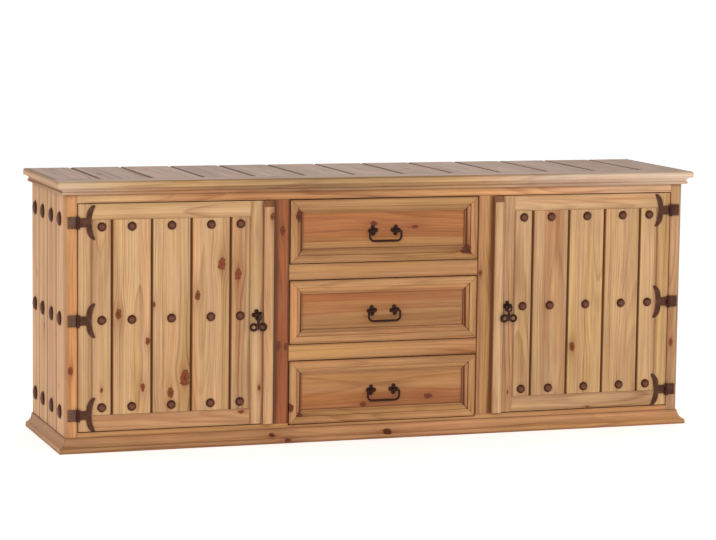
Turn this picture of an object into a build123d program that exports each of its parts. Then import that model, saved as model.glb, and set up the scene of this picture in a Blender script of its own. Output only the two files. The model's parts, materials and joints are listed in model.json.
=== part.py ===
from build123d import *
import os

# Trastero cabinet: a long low pine case with two plank doors and three drawers between them.
# Millimetres. The origin is on the floor under the middle of the overall box.
# +X runs to the right, the front faces -Y and +Z is up.

# ---- Case ----
case_width = 1800.0
case_depth = 425.0
overall_height = 732.0
frame_thickness = 22.0
post_width = 32.0
stile_width = 59.0
door_opening_width = 533.0
top_rail_height = 44.0
door_sill_height = 53.0
drawer_sill_height = 47.0
drawer_rail_height = 44.0
side_thickness = 20.0
side_plank_widths = [94.0, 113.0, 108.0]
partition_thickness = 20.0
bottom_thickness = 18.0
floor_drop = 2.0
back_thickness = 12.0
back_plank_count = 12
back_rail_height = 60.0
back_rail_thickness = 20.0
batten_height = 44.0
batten_thickness = 18.0
shelf_thickness = 18.0
shelf_setback = 60.0
shelf_clearance = 1.0
groove_width = 8.0
groove_depth = 5.0

# ---- Top and mouldings ----
top_thickness = 16.0
top_plank_count = 13
top_end_plank_width = 127.0
top_border_depth = 75.0
top_groove_width = 10.0
crown_overhang = 26.0
crown_lip = 6.0
crown_bed_height = 21.0
bead_height = 8.0
bead_overhang = 14.0
cove_start = 10.0
base_height = 39.0
base_overhang = 21.0
base_fascia_height = 14.0
base_step = 6.0
base_ledge = 4.0

# ---- Doors ----
door_gap = 2.0
door_thickness = 22.0
hinge_stile_width = 37.0
free_stile_width = 50.0
door_top_rail_height = 43.0
door_bottom_rail_height = 44.0
door_plank_count = 5
door_end_plank_width = 56.0
door_batten_height = 50.0
door_batten_thickness = 14.0
door_batten_lap = 26.0
door_nails_from_low = 64.0
door_nails_from_high = 62.0
middle_row_drop = 6.5
cover_width = 27.0
cover_thickness = 12.0
cover_lap = 13.0
cover_bevel_height = 17.0
cover_seat = 0.3
side_nails_from_floor = 102.0
side_nails_from_top = 91.0
nail_head_radius = 12.5
nail_head_height = 8.0
side_nail_head_radius = 20.0
side_nail_head_height = 9.0
nail_head_sides = 8
nail_head_tiers = [(1.0, 0.0), (1.0, 0.3), (0.64, 0.82)]

# ---- Hinges ----
hinge_from_low = 45.0
hinge_from_high = 50.0
leaf_thickness = 2.5
post_leaf_inset = 6.5
post_leaf_height = 31.0
barrel_radius = 5.0
barrel_sides = 8
barrel_height = 33.0
middle_knuckle_height = 11.0
knuckle_gap = 0.3
barrel_stand_off = 0.3
hinge_pin_radius = 2.5
pin_clearance = 0.05
neck_half_height = 12.0
neck_length = 25.0
horn_reach = 48.0
horn_notch = 36.0
horn_middle = 34.5
horn_width = 12.5
horn_half_height = 47.0
horn_tip_width = 4.0

# ---- Pulls ----
rosette_radius = 15.0
rosette_waist = 5.0
petal_swell = 10.0
petal_half_width = 7.0
rosette_thickness = 3.0
pull_post_radius = 5.5
pull_post_sides = 8
pull_nose_straight = 2.5
pull_nose_height = 2.5
bail_stand_off = 13.0
drop_stand_off = 16.0
pull_pin_radius = 2.5
pull_pin_clearance = 0.08
bail_post_spacing = 66.0
bail_width = 92.0
bail_drop = 28.5
bail_bar_radius = 3.0
bail_corner_radius = 13.0
bail_bar_sides = 8
bail_pin_end = 0.5
bail_post_gap = 1.2
door_pull_rise = 2.0
door_pull_from_edge = 31.0
drawer_pull_drop = 2.0
drop_thickness = 4.0
drop_ring_radius = 12.0
drop_ring_hole_radius = 6.0
drop_ring_depth = 33.0
drop_fork_depth = 9.5
drop_stem_half_width = 4.0
drop_ring_sides = 16
drop_ring_spread = 1.0
drop_cheek_thickness = 2.5

# ---- Drawers ----
drawer_gap = 2.0
drawer_proud = 4.0
drawer_frame_thickness = 22.0
drawer_frame_width = 38.0
drawer_flat_width = 20.0
drawer_step_depth = 3.0
panel_recess = 10.0
panel_lap = 8.0
drawer_back_gap = 45.0
drawer_box_height = 145.0
drawer_box_wall = 12.0
drawer_box_lift = 8.0
drawer_side_clearance = 3.0
drawer_bottom_thickness = 5.0
drawer_bottom_lift = 8.0
drawer_bottom_tongue = 6.0
slide_clearance = 0.3
runner_width = 22.0
runner_back_gap = 31.0

# ---- Places worked out from the sizes above ----
half_case = case_width / 2
face_y = crown_overhang - (case_depth + crown_overhang) / 2
back_y = face_y + case_depth
frame_back_y = face_y + frame_thickness
inner_back_y = back_y - back_thickness
top_under = overall_height - top_thickness
opening_top = top_under - top_rail_height
opening_left = -half_case + post_width
opening_right = opening_left + door_opening_width
stile_right = opening_right + stile_width
drawer_pitch = (opening_top - drawer_sill_height + drawer_rail_height) / 3
drawer_opening_height = drawer_pitch - drawer_rail_height
bottom_top = drawer_sill_height - floor_drop
inner_side_x = -half_case + side_thickness
door_left = opening_left + door_gap
door_right = opening_right - door_gap
door_low = door_sill_height + door_gap
door_high = opening_top - door_gap
planks_left = door_left + hinge_stile_width
planks_right = door_right - free_stile_width
planks_low = door_low + door_bottom_rail_height
planks_high = door_high - door_top_rail_height
door_back_y = face_y + door_thickness
hinge_x = opening_left + door_gap / 2
hinge_y = face_y - barrel_radius - barrel_stand_off
middle_height = (door_low + door_high) / 2 - middle_row_drop
door_nail_rows = [door_low + door_nails_from_low, middle_height, door_high - door_nails_from_high]
side_nail_rows = [side_nails_from_floor, middle_height, top_under - side_nails_from_top]
hinge_heights = [door_low + hinge_from_low, middle_height, door_high - hinge_from_high]
door_pull_height = middle_height + door_pull_rise
shelf_low = middle_height + batten_height / 2
OUT = "parts"


def board(x, y, z):
    """A squared board between two values on each axis."""
    size = Box(x[1] - x[0], y[1] - y[0], z[1] - z[0])
    return Pos((x[0] + x[1]) / 2, (y[0] + y[1]) / 2, (z[0] + z[1]) / 2) * size


def mirrored(solid):
    """The right-hand twin of a left-hand piece."""
    return mirror(solid, about=Plane.YZ)


def run(section, origin, across, along, length):
    """A straight board of one section: its width goes across and its length goes along."""
    plane = Plane(origin=origin, x_dir=across, z_dir=along)
    return extrude(plane * section, amount=length, dir=along)


def side_by_side(left):
    """Left and right pieces of a pair as one list."""
    return [left, mirrored(left)]


def save(name, *solids):
    """Write one sub-part, a single piece or a group of like pieces."""
    flat = [solid for piece in solids for solid in piece.solids()]
    shape = flat[0] if len(flat) == 1 else Compound(children=flat)
    export_step(shape, os.path.join(OUT, name + ".step"))


# ---- Planks and nails ----
def plank_section(width, thickness, groove, depth, left=True, right=True):
    """A plank's section with half a V groove on each grooved edge; its show face is on y = 0."""
    half = groove / 2
    points = [(half if left else 0, 0), (width - half if right else width, 0)]
    if right:
        points.append((width, depth))
    points += [(width, thickness), (0, thickness)]
    if left:
        points.append((0, depth))
    return make_face(Polyline(*points, close=True))


def nail_head(point, direction, radius, height):
    """A forged nail's many-sided domed head, seated flat on the wood."""
    corners = [Vector(0, 0, height)]
    for radius_share, height_share in nail_head_tiers:
        for place in PolarLocations(radius_share * radius, nail_head_sides):
            corners.append(place.position + Vector(0, 0, height_share * height))
    return Plane(origin=point, z_dir=direction) * ConvexPolyhedron(corners)


# ---- Face frame ----
def corner_post():
    """Full-height post at the front left corner."""
    return board((-half_case, opening_left), (face_y, frame_back_y), (0, top_under))


def centre_stile():
    """Stile between the left door and the drawers."""
    return board(
        (opening_right, stile_right),
        (face_y, frame_back_y),
        (door_sill_height, opening_top),
    )


def top_rail():
    return board((opening_left, -opening_left), (face_y, frame_back_y), (opening_top, top_under))


def bottom_rail():
    """Sill across the whole front, cut a little lower under the drawers."""
    rail = board((opening_left, -opening_left), (face_y, frame_back_y), (0, door_sill_height))
    notch = board(
        (stile_right, -stile_right),
        (face_y, frame_back_y),
        (drawer_sill_height, door_sill_height),
    )
    return rail - notch


def drawer_sill(index):
    """Height of the opening's lower edge for drawer 0, 1 or 2, counted from the bottom."""
    return drawer_sill_height + index * drawer_pitch


def drawer_rails():
    rails = []
    for index in (1, 2):
        high = drawer_sill(index)
        rails.append(
            board((stile_right, -stile_right), (face_y, frame_back_y), (high - drawer_rail_height, high))
        )
    return rails


# ---- Sides, floor, back and inner boards ----
def side_planks():
    """The left side's planks, from the face frame to the back, with V grooves between them."""
    depth = case_depth - frame_thickness
    widths = side_plank_widths + [depth - sum(side_plank_widths)]
    planks = []
    front = frame_back_y
    for index, width in enumerate(widths):
        section = plank_section(
            width,
            side_thickness,
            groove_width,
            groove_depth,
            left=index < len(widths) - 1,
            right=index > 0,
        )
        origin = (-half_case, front + width, 0)
        planks.append(run(section, origin, (0, -1, 0), (0, 0, 1), top_under))
        front += width
    return planks


def side_plank_middles():
    """The middle of each side plank, in Y."""
    widths = side_plank_widths + [case_depth - frame_thickness - sum(side_plank_widths)]
    middles = []
    front = frame_back_y
    for width in widths:
        middles.append(front + width / 2)
        front += width
    return middles


def side_battens():
    """Battens behind the left side planks, one behind each row of nails."""
    return [
        board(
            (inner_side_x, inner_side_x + batten_thickness),
            (frame_back_y, inner_back_y),
            (height - batten_height / 2, height + batten_height / 2),
        )
        for height in side_nail_rows
    ]


def side_nails():
    """Large nail heads on the left side, one on each plank in each row."""
    points = [(-half_case, y, z) for z in side_nail_rows for y in side_plank_middles()]
    return [nail_head(p, (-1, 0, 0), side_nail_head_radius, side_nail_head_height) for p in points]


def partition():
    """Board between the left compartment and the drawers, notched round the back rail."""
    upright = board(
        (stile_right - partition_thickness, stile_right),
        (frame_back_y, inner_back_y),
        (bottom_top, top_under),
    )
    return upright - back_rail()


def bottom_board():
    return board(
        (inner_side_x, -inner_side_x),
        (frame_back_y, inner_back_y),
        (bottom_top - bottom_thickness, bottom_top),
    )


def back_planks():
    """Upright boards that close the back, let in between the sides."""
    width = 2 * -inner_side_x / back_plank_count
    planks = []
    for index in range(back_plank_count):
        section = plank_section(
            width,
            back_thickness,
            groove_width,
            groove_depth / 2,
            left=index > 0,
            right=index < back_plank_count - 1,
        )
        origin = (-inner_side_x - index * width, back_y, 0)
        planks.append(run(section, origin, (-1, 0, 0), (0, 0, 1), top_under))
    return planks


def back_rail():
    """Rail inside the back, under the top planks."""
    return board(
        (inner_side_x, -inner_side_x),
        (inner_back_y - back_rail_thickness, inner_back_y),
        (top_under - back_rail_height, top_under),
    )


def shelf():
    """The left compartment's shelf, on a side batten and a cleat."""
    return board(
        (inner_side_x + shelf_clearance, stile_right - partition_thickness - shelf_clearance),
        (face_y + shelf_setback, inner_back_y - shelf_clearance),
        (shelf_low, shelf_low + shelf_thickness),
    )


def shelf_cleat():
    return board(
        (stile_right - partition_thickness - batten_thickness, stile_right - partition_thickness),
        (face_y + shelf_setback, inner_back_y),
        (shelf_low - batten_height, shelf_low),
    )


def drawer_runners():
    """The three runners on the left partition."""
    height = drawer_gap + floor_drop + drawer_box_lift - slide_clearance
    runners = []
    for index in range(3):
        low = drawer_sill(index) - floor_drop
        runners.append(
            board(
                (stile_right, stile_right + runner_width),
                (frame_back_y, inner_back_y - runner_back_gap),
                (low, low + height),
            )
        )
    return runners


# ---- Top ----
def top_front_border():
    """Board along the front of the top, across the ends of the planks."""
    reach = half_case + crown_overhang - crown_lip
    front = face_y - crown_overhang + crown_lip
    return board((-reach, reach), (front, front + top_border_depth), (top_under, overall_height))


def top_planks():
    """Planks from the front border to the back, with V grooves between them."""
    reach = half_case + crown_overhang - crown_lip
    front = face_y - crown_overhang + crown_lip + top_border_depth
    inner_width = 2 * (reach - top_end_plank_width) / (top_plank_count - 2)
    widths = [top_end_plank_width] + [inner_width] * (top_plank_count - 2) + [top_end_plank_width]
    planks = []
    left = -reach
    for index, width in enumerate(widths):
        section = plank_section(
            width,
            top_thickness,
            top_groove_width,
            groove_depth,
            left=index > 0,
            right=index < top_plank_count - 1,
        )
        origin = (left, front, overall_height)
        planks.append(run(section, origin, (1, 0, 0), (0, 1, 0), back_y - front))
        left += width
    return planks


# ---- Mouldings ----
def crown_section():
    """Bead, cove and rounded nose; x is outwards from the case, y is up from the lower edge."""
    bed = crown_bed_height
    height = bed + top_thickness
    lip = crown_overhang - crown_lip
    bead = ThreePointArc(
        (bead_overhang - 3, 0), (bead_overhang, bead_height / 2), (bead_overhang - 3, bead_height)
    )
    cove_end = (crown_overhang - 3, bed - 2)
    cove = ThreePointArc((cove_start, bead_height + 1), (cove_start + 4.8, bed - 4.8), cove_end)
    underside = ThreePointArc(cove_end, (crown_overhang - 0.88, bed - 1.12), (crown_overhang, bed + 1))
    nose = ThreePointArc(
        (crown_overhang, height - 6), (crown_overhang - 1.8, height - 1.8), (lip, height)
    )
    edges = [
        Polyline((0, bed), (0, 0), (bead_overhang - 3, 0)),
        bead,
        Line((bead_overhang - 3, bead_height), (cove_start, bead_height + 1)),
        cove,
        underside,
        Line((crown_overhang, bed + 1), (crown_overhang, height - 6)),
        nose,
        Polyline((lip, height), (lip, bed), (0, bed)),
    ]
    return make_face(edges)


def base_section():
    """Upright fascia, a step and a cove that runs back to the case."""
    shoulder = base_overhang - base_step
    cove_low = base_fascia_height + 1
    cove_high = base_height - 3
    cove = ThreePointArc(
        (shoulder, cove_low), (base_ledge + 3, (cove_low + cove_high) / 2 - 1), (base_ledge, cove_high)
    )
    edges = [
        Polyline(
            (0, base_height),
            (0, 0),
            (base_overhang, 0),
            (base_overhang, base_fascia_height - 2),
            (base_overhang - 2, base_fascia_height),
            (shoulder, cove_low),
        ),
        cove,
        Polyline((base_ledge, cove_high), (base_ledge - 1, base_height), (0, base_height)),
    ]
    return make_face(edges)


def mitred_mouldings(section, overhang, low):
    """Front, left and right runs of a moulding round the case, mitred at the front corners."""
    left_mitre = Plane(origin=(-half_case, face_y, 0), z_dir=(1, -1, 0))
    right_mitre = Plane(origin=(half_case, face_y, 0), z_dir=(-1, -1, 0))
    reach = half_case + overhang
    front = run(section, (reach, face_y, low), (0, -1, 0), (-1, 0, 0), 2 * reach)
    front = split(split(front, left_mitre, Keep.TOP), right_mitre, Keep.TOP)
    front_end = face_y - overhang
    left = run(section, (-half_case, front_end, low), (-1, 0, 0), (0, 1, 0), back_y - front_end)
    left = split(left, left_mitre, Keep.BOTTOM)
    return [front, left, mirrored(left)]


# ---- Doors ----
def door_frame():
    """Two stiles and the two rails between them, for the left door."""
    depth = (face_y, door_back_y)
    return [
        board((door_left, planks_left), depth, (door_low, door_high)),
        board((planks_right, door_right), depth, (door_low, door_high)),
        board((planks_left, planks_right), depth, (planks_high, door_high)),
        board((planks_left, planks_right), depth, (door_low, planks_low)),
    ]


def door_plank_edges():
    """The X values between which the left door's planks lie."""
    inner_left = planks_left + door_end_plank_width
    inner_right = planks_right - door_end_plank_width
    inner_width = (inner_right - inner_left) / (door_plank_count - 2)
    inner = [inner_left + index * inner_width for index in range(door_plank_count - 1)]
    return [planks_left] + inner + [planks_right]


def door_planks():
    """Planks between the stiles and the rails, with V grooves between them."""
    edges = door_plank_edges()
    planks = []
    for index in range(door_plank_count):
        section = plank_section(
            edges[index + 1] - edges[index],
            door_thickness,
            groove_width,
            groove_depth,
            left=index > 0,
            right=index < door_plank_count - 1,
        )
        origin = (edges[index], face_y, planks_low)
        planks.append(run(section, origin, (1, 0, 0), (0, 0, 1), planks_high - planks_low))
    return planks


def door_battens():
    """Battens across the back of the door, behind the nail rows and lapped on the stiles."""
    return [
        board(
            (planks_left - door_batten_lap, planks_right + door_batten_lap),
            (door_back_y, door_back_y + door_batten_thickness),
            (height - door_batten_height / 2, height + door_batten_height / 2),
        )
        for height in door_nail_rows
    ]


def door_nails():
    """Nail heads on the door, one in the middle of each plank in each row."""
    edges = door_plank_edges()
    middles = [(edges[index] + edges[index + 1]) / 2 for index in range(door_plank_count)]
    points = [(x, face_y, z) for z in door_nail_rows for x in middles]
    return [nail_head(p, (0, -1, 0), nail_head_radius, nail_head_height) for p in points]


def cover_strip():
    """Strip down the free edge that covers the gap, its top end cut to a long bevel."""
    right = door_right + cover_lap
    front = face_y - cover_thickness
    strip = board((right - cover_width, right), (front, face_y), (door_low, door_high))
    lap = board((door_right, right), (face_y - cover_seat, face_y), (door_low, door_high))
    bevel = Polyline(
        (front, door_high - cover_bevel_height), (front, door_high), (face_y - 2, door_high), close=True
    )
    wedge = run(make_face(bevel), (right, 0, 0), (0, 1, 0), (1, 0, 0), cover_width)
    wedge = Pos(-cover_width, 0, 0) * wedge
    return strip - lap - wedge


# ---- Hinges ----
def knuckle(low, high):
    """One knuckle of a barrel about the hinge line, forged to eight flats."""
    flats = Pos(hinge_x, hinge_y, low) * RegularPolygon(barrel_radius, barrel_sides)
    return extrude(flats, amount=high - low, dir=(0, 0, 1))


def hinge_pin(low, high, clearance=0.0):
    """The pin about the hinge line, or its bore where a clearance is given."""
    round_bar = Pos(hinge_x, hinge_y, low) * Circle(hinge_pin_radius + clearance)
    return extrude(round_bar, amount=high - low, dir=(0, 0, 1))


def knuckle_clearance(low, high):
    """Room cut in a leaf round the other leaf's knuckle."""
    reach = barrel_radius + knuckle_gap + 0.2
    return board((hinge_x - reach, hinge_x + reach), (hinge_y, face_y), (low, high))


def post_leaf(height):
    """Leaf on the corner post with the barrel's two outer knuckles and the pin riveted in them."""
    half_leaf = post_leaf_height / 2
    half_barrel = barrel_height / 2
    half_gap = middle_knuckle_height / 2 + knuckle_gap
    plate = board(
        (-half_case + post_leaf_inset, hinge_x),
        (face_y - leaf_thickness, face_y),
        (height - half_leaf, height + half_leaf),
    )
    plate -= knuckle_clearance(height - half_gap, height + half_gap)
    upper = knuckle(height + half_gap, height + half_barrel)
    lower = knuckle(height - half_barrel, height - half_gap)
    pin = hinge_pin(height - half_gap - 1, height + half_gap + 1)
    return plate + upper + lower + pin


def horn_outline():
    """Door leaf seen from the front, x from the hinge line: a neck that opens into a crescent."""
    neck = neck_half_height
    tip_z = horn_half_height
    inner_tip = (horn_reach - horn_tip_width, tip_z)
    outer_tip = (horn_reach, tip_z - horn_tip_width / 2)
    upper = [
        Polyline((0, 0), (0, neck), (neck_length, neck)),
        ThreePointArc((neck_length, neck), (horn_middle - horn_width / 2, 0.68 * tip_z), inner_tip),
        Line(inner_tip, outer_tip),
        ThreePointArc(outer_tip, (horn_middle + horn_width / 2, 0.55 * tip_z), (horn_notch, 0)),
    ]
    lower = [mirror(edge, about=Plane.XZ) for edge in upper]
    return make_face(upper + lower)


def door_leaf(height):
    """Leaf on the door's stile with the barrel's middle knuckle, bored for the pin."""
    half_barrel = barrel_height / 2
    half_middle = middle_knuckle_height / 2
    plane = Plane(origin=(hinge_x, face_y, height), x_dir=(1, 0, 0), z_dir=(0, -1, 0))
    leaf = extrude(plane * horn_outline(), amount=leaf_thickness, dir=(0, -1, 0))
    leaf -= knuckle_clearance(height + half_middle, height + half_barrel)
    leaf -= knuckle_clearance(height - half_barrel, height - half_middle)
    leaf += knuckle(height - half_middle, height + half_middle)
    return leaf - hinge_pin(height - half_barrel, height + half_barrel, pin_clearance)


# ---- Pulls ----
def rosette_outline():
    """Four pointed petals round the middle."""
    petal = [
        (rosette_waist, -rosette_waist),
        (petal_swell, -petal_half_width),
        (rosette_radius, 0),
        (petal_swell, petal_half_width),
    ]
    corners = []
    for turn in (0, 90, 180, 270):
        corners += [Vector(*corner).rotate(Axis.Z, turn) for corner in petal]
    return make_face(Polyline(*corners, close=True))


def pull_post(stand_off):
    """Rosette and eight-sided post with a bevelled nose, seated on y = 0 and bored at the pivot."""
    back = Plane(origin=(0, 0, 0), x_dir=(1, 0, 0), z_dir=(0, -1, 0))
    plate = extrude(back * rosette_outline(), amount=rosette_thickness, dir=(0, -1, 0))
    shank_end = stand_off + pull_nose_straight
    corners = []
    for radius, height in ((1.0, 0.0), (1.0, shank_end), (0.6, shank_end + pull_nose_height)):
        for place in PolarLocations(radius * pull_post_radius, pull_post_sides, start_angle=22.5):
            corners.append(place.position + Vector(0, 0, height))
    shank = back * ConvexPolyhedron(corners)
    hole = Cylinder(pull_pin_radius + pull_pin_clearance, 4 * pull_post_radius)
    return plate + shank - Pos(0, -stand_off, 0) * Rot(0, 90, 0) * hole


def bail():
    """Bail handle of eight-sided bar, its round ends turned in through the two posts."""
    half = bail_width / 2
    leg = bail_drop - bail_corner_radius
    foot = half - bail_corner_radius
    shoulder = bail_post_spacing / 2 + pull_post_radius + bail_post_gap
    bar = Rot(0, 0, 22.5) * RegularPolygon(bail_bar_radius, bail_bar_sides)
    start = Plane(origin=(shoulder, 0, 0), x_dir=(0, 1, 0), z_dir=(1, 0, 0))
    arm_path = Polyline((shoulder, 0, 0), (half, 0, 0), (half, 0, -leg))
    arm = sweep(start * bar, path=arm_path, transition=Transition.RIGHT)
    bend = revolve(Pos(half, 0, -leg) * bar, Axis((foot, 0, -leg), (0, 1, 0)), 90)
    grip = run(bar, (0, 0, -bail_drop), (0, 1, 0), (1, 0, 0), foot)
    pin_start = bail_post_spacing / 2 - pull_post_radius - bail_pin_end
    pin = Plane(origin=(pin_start, 0, 0), z_dir=(1, 0, 0)) * Circle(pull_pin_radius)
    pin = extrude(pin, amount=shoulder - pin_start, dir=(1, 0, 0))
    right = arm + bend + grip + pin
    return right + mirrored(right)


def drop_pull():
    """Drop pull: a fork and pin on the post, a tapered stem and two rings at its foot."""
    cheek_inner = pull_post_radius + bail_post_gap
    cheek_outer = cheek_inner + drop_cheek_thickness
    half_thick = drop_thickness / 2
    fork_low = -drop_fork_depth - drop_thickness
    cheek = board((cheek_inner, cheek_outer), (-half_thick, half_thick), (fork_low, pull_pin_radius + 1))
    bridge = board((-cheek_outer, cheek_outer), (-half_thick, half_thick), (fork_low, -drop_fork_depth))
    pin = Plane(origin=(-cheek_inner, 0, 0), z_dir=(1, 0, 0)) * Circle(pull_pin_radius)
    pin = extrude(pin, amount=2 * cheek_inner, dir=(1, 0, 0))
    front = Plane(origin=(0, half_thick, -drop_ring_depth), x_dir=(1, 0, 0), z_dir=(0, -1, 0))
    ring_x = drop_ring_radius + drop_ring_spread
    places = [Pos(-ring_x, 0), Pos(ring_x, 0)]
    stem = Polyline(
        (-drop_stem_half_width, fork_low + drop_ring_depth),
        (drop_stem_half_width, fork_low + drop_ring_depth),
        (2 * drop_stem_half_width, 0),
        (0, -0.7 * drop_ring_radius),
        (-2 * drop_stem_half_width, 0),
        close=True,
    )
    outline = make_face(stem)
    for place in places:
        outline += place * RegularPolygon(drop_ring_radius, drop_ring_sides)
    for place in places:
        outline -= place * RegularPolygon(drop_ring_hole_radius, drop_ring_sides)
    pendant = extrude(front * outline, amount=drop_thickness, dir=(0, -1, 0))
    return cheek + mirrored(cheek) + bridge + pin + pendant


# ---- Drawers, each made for the bottom opening and then lifted to its own ----
drawer_left = stile_right + drawer_gap
drawer_low = drawer_sill_height + drawer_gap
drawer_high = drawer_sill_height + drawer_opening_height - drawer_gap
drawer_front_y = face_y - drawer_proud
drawer_front_back_y = drawer_front_y + drawer_frame_thickness
panel_y = drawer_front_y + panel_recess
box_left = stile_right + drawer_side_clearance
box_low = drawer_low + drawer_box_lift
box_back_y = inner_back_y - drawer_back_gap


def drawer_frame_section():
    """Flat outer face, a stepped inner moulding and a rebate for the panel."""
    rebate = drawer_frame_width - panel_lap
    moulding_end = panel_recess - 3
    moulding = ThreePointArc(
        (drawer_flat_width + 1, drawer_step_depth),
        (drawer_frame_width - 8, drawer_step_depth + 1.6),
        (drawer_frame_width - 3, moulding_end),
    )
    edges = [
        Polyline((0, drawer_frame_thickness), (0, 1.5), (1.5, 0), (drawer_flat_width, 0)),
        Line((drawer_flat_width, 0), (drawer_flat_width + 1, drawer_step_depth)),
        moulding,
        Polyline(
            (drawer_frame_width - 3, moulding_end),
            (drawer_frame_width, moulding_end),
            (drawer_frame_width, panel_recess),
            (rebate, panel_recess),
            (rebate, drawer_frame_thickness),
            (0, drawer_frame_thickness),
        ),
    ]
    return make_face(edges)


def drawer_frame():
    """Four mitred members round the panel."""
    section = drawer_frame_section()
    width = -2 * drawer_left
    height = drawer_high - drawer_low
    low_left = Plane(origin=(drawer_left, 0, drawer_low), z_dir=(1, 0, -1))
    low_right = Plane(origin=(-drawer_left, 0, drawer_low), z_dir=(-1, 0, -1))
    high_left = Plane(origin=(drawer_left, 0, drawer_high), z_dir=(1, 0, 1))
    bottom = run(section, (-drawer_left, drawer_front_y, drawer_low), (0, 0, 1), (-1, 0, 0), width)
    bottom = split(split(bottom, low_left, Keep.TOP), low_right, Keep.TOP)
    middle_height = (drawer_low + drawer_high) / 2
    top = mirror(bottom, about=Plane(origin=(0, 0, middle_height), z_dir=(0, 0, 1)))
    left = run(section, (drawer_left, drawer_front_y, drawer_low), (1, 0, 0), (0, 0, 1), height)
    left = split(split(left, low_left, Keep.BOTTOM), high_left, Keep.BOTTOM)
    return [bottom, top, left, mirrored(left)]


def drawer_panel():
    """Flat panel in the frame's rebate."""
    inset = drawer_frame_width - panel_lap
    return board(
        (drawer_left + inset, -drawer_left - inset),
        (panel_y, drawer_front_back_y),
        (drawer_low + inset, drawer_high - inset),
    )


def drawer_bottom():
    """Thin bottom whose edges run in the box's grooves."""
    inner = box_left + drawer_box_wall - drawer_bottom_tongue
    back = box_back_y - drawer_box_wall + drawer_bottom_tongue
    low = box_low + drawer_bottom_lift
    return board((inner, -inner), (drawer_front_back_y, back), (low, low + drawer_bottom_thickness))


def drawer_box():
    """Two sides and a back, grooved for the bottom."""
    height = (box_low, box_low + drawer_box_height)
    side = board((box_left, box_left + drawer_box_wall), (drawer_front_back_y, box_back_y), height)
    inner = box_left + drawer_box_wall
    back = board((inner, -inner), (box_back_y - drawer_box_wall, box_back_y), height)
    bottom = drawer_bottom()
    side -= bottom
    return side_by_side(side) + [back - bottom]


def drawer_pull_posts():
    """The two posts that carry the bail."""
    height = (drawer_low + drawer_high) / 2 - drawer_pull_drop
    return [
        Pos(side * bail_post_spacing / 2, panel_y, height) * pull_post(bail_stand_off) for side in (-1, 1)
    ]


def drawer_bail():
    height = (drawer_low + drawer_high) / 2 - drawer_pull_drop
    return Pos(0, panel_y - bail_stand_off, height) * bail()


def write_case():
    save("left_corner_post", corner_post())
    save("right_corner_post", mirrored(corner_post()))
    save("left_centre_stile", centre_stile())
    save("right_centre_stile", mirrored(centre_stile()))
    save("top_rail", top_rail())
    save("bottom_rail", bottom_rail())
    save("drawer_rails", *drawer_rails())
    save("left_side_planks", *side_planks())
    save("right_side_planks", *[mirrored(plank) for plank in side_planks()])
    save("side_battens", *[piece for batten in side_battens() for piece in side_by_side(batten)])
    save("side_nail_heads", *[piece for nail in side_nails() for piece in side_by_side(nail)])
    save("partitions", *side_by_side(partition()))
    save("bottom_board", bottom_board())
    save("back_planks", *back_planks())
    save("back_rail", back_rail())
    save("shelves", *side_by_side(shelf()))
    save("shelf_cleats", *side_by_side(shelf_cleat()))
    save("drawer_runners", *[piece for runner in drawer_runners() for piece in side_by_side(runner)])
    save("top_front_border", top_front_border())
    save("top_planks", *top_planks())
    save("crown_moulding", *mitred_mouldings(crown_section(), crown_overhang, top_under - crown_bed_height))
    save("base_moulding", *mitred_mouldings(base_section(), base_overhang, 0))


def write_doors():
    """Both doors and their hinges; the right-hand pieces mirror the left-hand ones."""
    pull_x = door_right - door_pull_from_edge
    rosette = Pos(pull_x, face_y, door_pull_height) * pull_post(drop_stand_off)
    drop = Pos(pull_x, face_y - drop_stand_off, door_pull_height) * drop_pull()
    pieces = {
        "door_frame": door_frame(),
        "door_planks": door_planks(),
        "door_battens": door_battens(),
        "door_nail_heads": door_nails(),
        "door_cover_strip": [cover_strip()],
        "door_hinge_leaves": [door_leaf(height) for height in hinge_heights],
        "door_pull_post": [rosette],
        "drop_pull": [drop],
        "post_hinge_leaves": [post_leaf(height) for height in hinge_heights],
    }
    for name, solids in pieces.items():
        save("left_" + name, *solids)
        save("right_" + name, *[mirrored(solid) for solid in solids])


def write_drawers():
    pieces = {
        "drawer_frame": drawer_frame(),
        "drawer_panel": [drawer_panel()],
        "drawer_box": drawer_box(),
        "drawer_bottom": [drawer_bottom()],
        "drawer_pull_posts": drawer_pull_posts(),
        "drawer_bail": [drawer_bail()],
    }
    for index, place in enumerate(("lower", "middle", "upper")):
        lift = Pos(0, 0, index * drawer_pitch)
        for name, solids in pieces.items():
            save(place + "_" + name, *[lift * solid for solid in solids])


os.makedirs("parts", exist_ok=True)
write_case()
write_doors()
write_drawers()
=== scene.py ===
"""Looks of a rustic pine sideboard: worn waxed boards with grain and knots, forged iron on them.

Every board keeps the shape and place of its CAD solid, with worn edges and its own figure of grain. Hinge leaves
keep theirs too, with hammered edges. Nail heads, rosettes, posts and pulls are forged anew where their CAD solids
are. Lengths are in metres, unless a comment says millimetres.
"""

import json
import math
import random

import bmesh
import bpy
from mathutils import Matrix, Vector, noise

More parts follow.
